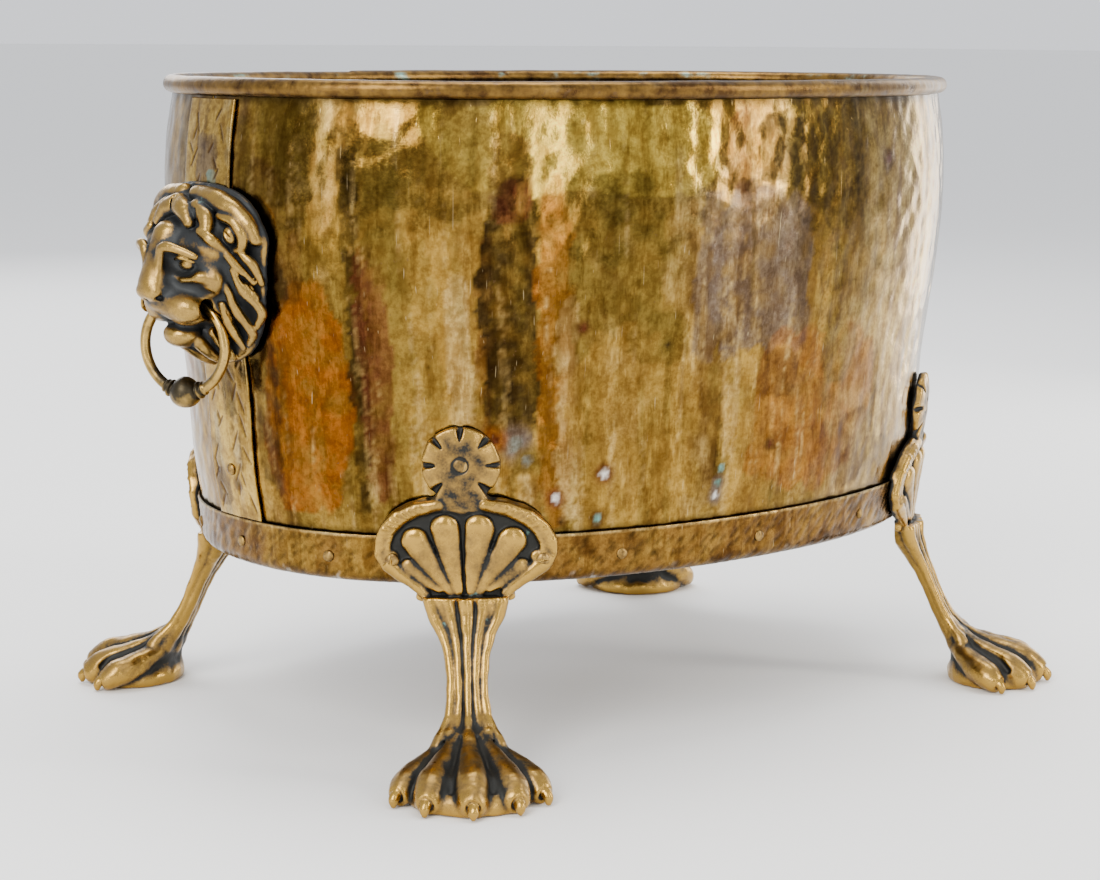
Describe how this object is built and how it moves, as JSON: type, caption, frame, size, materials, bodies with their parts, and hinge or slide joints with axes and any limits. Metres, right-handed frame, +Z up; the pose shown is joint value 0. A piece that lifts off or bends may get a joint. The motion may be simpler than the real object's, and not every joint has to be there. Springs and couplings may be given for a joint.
{
  "type": "footed oval planter",
  "caption": "Oval hammered-brass planter or log bin with a rolled rim, riveted base band, lion masks with drop rings and lion-paw feet.",
  "frame": {"origin": "on the floor, under the middle of the oval body", "axes": "+Z up, +X along the oval's long axis, from one ring handle to the other"},
  "size_m": [0.5188, 0.3642, 0.3306],
  "materials": {
    "wall_brass": "planished and polished, tarnished in streaks and patches",
    "strap_brass": "polished, with chisel marks",
    "pan_brass": "hammered, brown tarnish",
    "rim_brass": "rolled tube, brown tarnish",
    "cast_brass": "antique casting, dark in the recesses",
    "mask_brass": "antique casting, dark in the recesses",
    "ring_brass": "antique, worn bright on the outside",
    "rivet_brass": "hammered heads, dull",
    "iron_wire": "plain iron wire, hidden in the rim"
  },
  "bodies": {
    "pot": {"front_wall_sheet": "wall_brass", "back_wall_sheet": "wall_brass", "seam_strap_left": "strap_brass", "seam_strap_right": "strap_brass", "base_pan": "pan_brass", "rim_tube": "rim_brass", "rim_wire": "iron_wire", "leg_back_left": "cast_brass", "leg_back_right": "cast_brass", "leg_front_left": "cast_brass", "leg_front_right": "cast_brass", "lion_mask_left": "mask_brass", "lion_mask_right": "mask_brass", "strap_rivet_left": "rivet_brass", "mask_nut_left_lower": "rivet_brass", "mask_nut_left_upper": "rivet_brass", "strap_rivet_right": "rivet_brass", "mask_nut_right_lower": "rivet_brass", "mask_nut_right_upper": "rivet_brass", "band_rivet_left_1": "rivet_brass", "band_rivet_left_2": "rivet_brass", "band_rivet_left_3": "rivet_brass", "band_rivet_right_1": "rivet_brass", "band_rivet_right_2": "rivet_brass", "band_rivet_right_3": "rivet_brass", "band_rivet_front_1": "rivet_brass", "band_rivet_front_2": "rivet_brass", "band_rivet_front_3": "rivet_brass", "band_rivet_back_1": "rivet_brass", "band_rivet_back_2": "rivet_brass", "band_rivet_back_3": "rivet_brass", "rosette_rivet_back_left": "rivet_brass", "leg_screw_back_left_a": "rivet_brass", "leg_nut_back_left_a": "rivet_brass", "leg_screw_back_left_b": "rivet_brass", "leg_nut_back_left_b": "rivet_brass", "rosette_rivet_back_right": "rivet_brass", "leg_screw_back_right_a": "rivet_brass", "leg_nut_back_right_a": "rivet_brass", "leg_screw_back_right_b": "rivet_brass", "leg_nut_back_right_b": "rivet_brass", "rosette_rivet_front_left": "rivet_brass", "leg_screw_front_left_a": "rivet_brass", "leg_nut_front_left_a": "rivet_brass", "leg_screw_front_left_b": "rivet_brass", "leg_nut_front_left_b": "rivet_brass", "rosette_rivet_front_right": "rivet_brass", "leg_screw_front_right_a": "rivet_brass", "leg_nut_front_right_a": "rivet_brass", "leg_screw_front_right_b": "rivet_brass", "leg_nut_front_right_b": "rivet_brass"},
    "left_ring": {"ring_handle_left": "ring_brass"},
    "right_ring": {"ring_handle_right": "ring_brass"}
  },
  "joints": [
    {"name": "left_ring_swing", "type": "hinge", "parent": "pot", "child": "left_ring", "pos_m": [-0.243, 0, 0.2254], "axis": [-0.4226, 0.9063, 0], "range_deg": [-8, 80]},
    {"name": "right_ring_swing", "type": "hinge", "parent": "pot", "child": "right_ring", "pos_m": [0.243, 0, 0.2254], "axis": [0.4226, -0.9063, 0], "range_deg": [-8, 80]}
  ]
}
